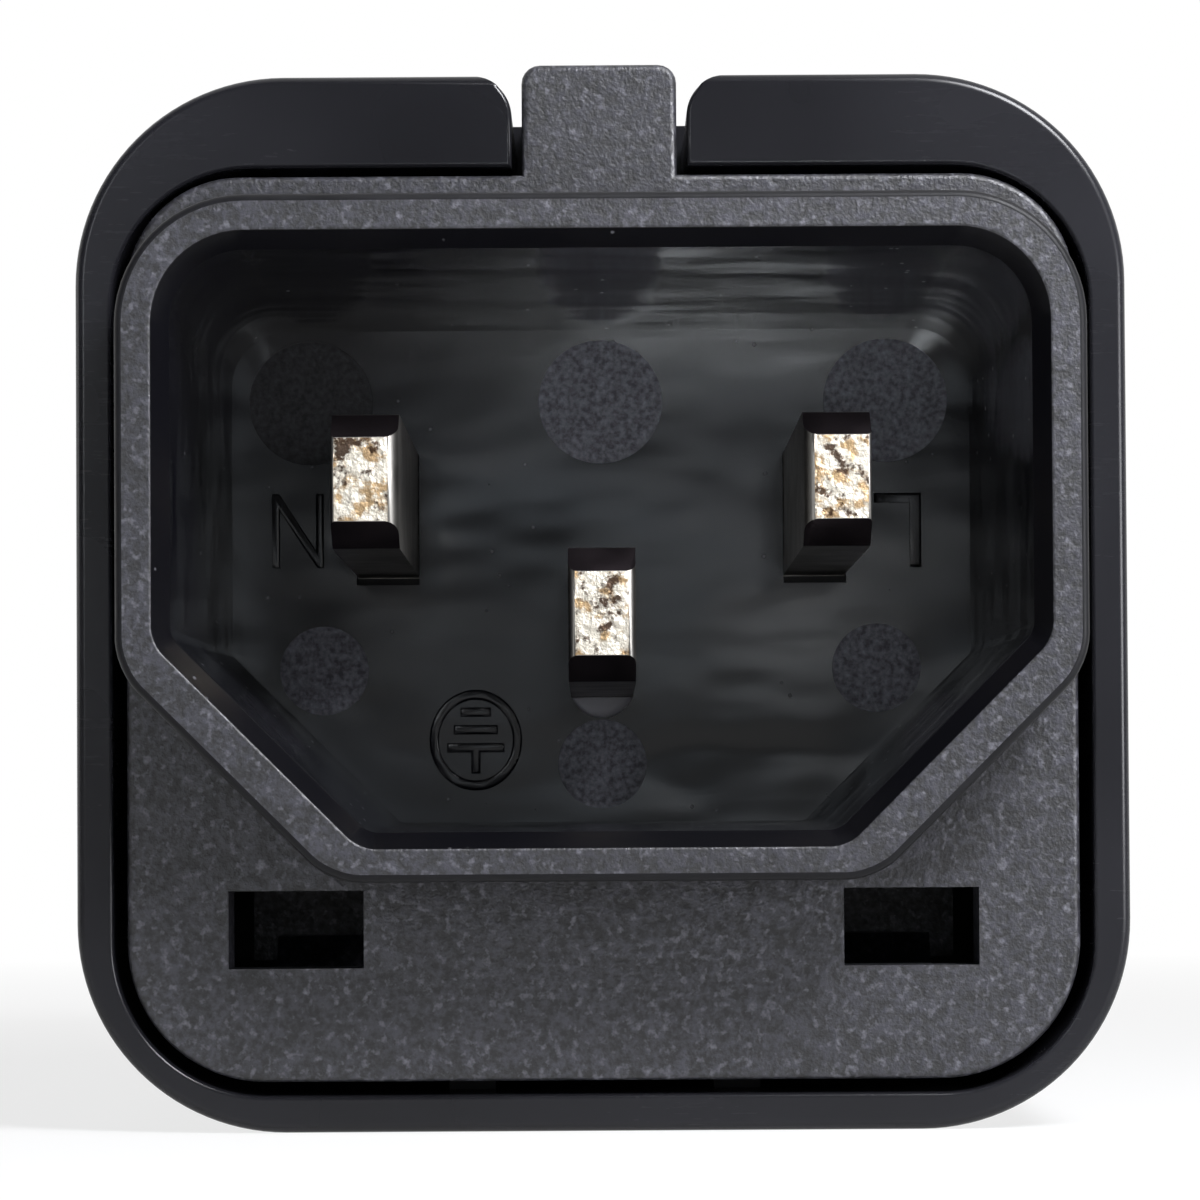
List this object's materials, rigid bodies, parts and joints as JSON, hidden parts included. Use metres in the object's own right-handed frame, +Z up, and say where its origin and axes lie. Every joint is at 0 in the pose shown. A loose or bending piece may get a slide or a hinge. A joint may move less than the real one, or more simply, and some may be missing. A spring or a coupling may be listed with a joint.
{
  "type": "c14 to c19 power adapter",
  "caption": "Square-bodied mains adapter with a shrouded C14 inlet and flat pins at the front, a slotted C19 outlet nose at the back, and a tab in a top notch.",
  "frame": {"origin": "centre of the overall box, on the flat bottom of the housing", "axes": "+Y runs from the C14 end to the C19 end, +Z up to the side with the tab, X across the pins"},
  "size_m": [0.0312, 0.054, 0.0316],
  "materials": {
    "housing": "moulded black, semi-gloss",
    "inlet_block": "moulded black, spark-eroded texture outside, gloss in the cavity",
    "socket_block": "moulded black, fine texture",
    "carrier": "moulded dark grey, plain",
    "pin_metal": "nickel-plated brass, bright",
    "strip_brass": "stamped brass, bare",
    "rivet_metal": "headed brass, bare"
  },
  "bodies": {
    "root": {"housing": "housing", "inlet_block": "inlet_block", "socket_block": "socket_block", "contact_carrier": "carrier", "line_pin": "pin_metal", "line_link": "strip_brass", "line_receptacle": "strip_brass", "neutral_pin": "pin_metal", "neutral_link": "strip_brass", "neutral_receptacle": "strip_brass", "earth_pin": "pin_metal", "earth_link": "strip_brass", "earth_receptacle": "strip_brass", "contact_rivets": "rivet_metal"}
  },
  "joints": []
}
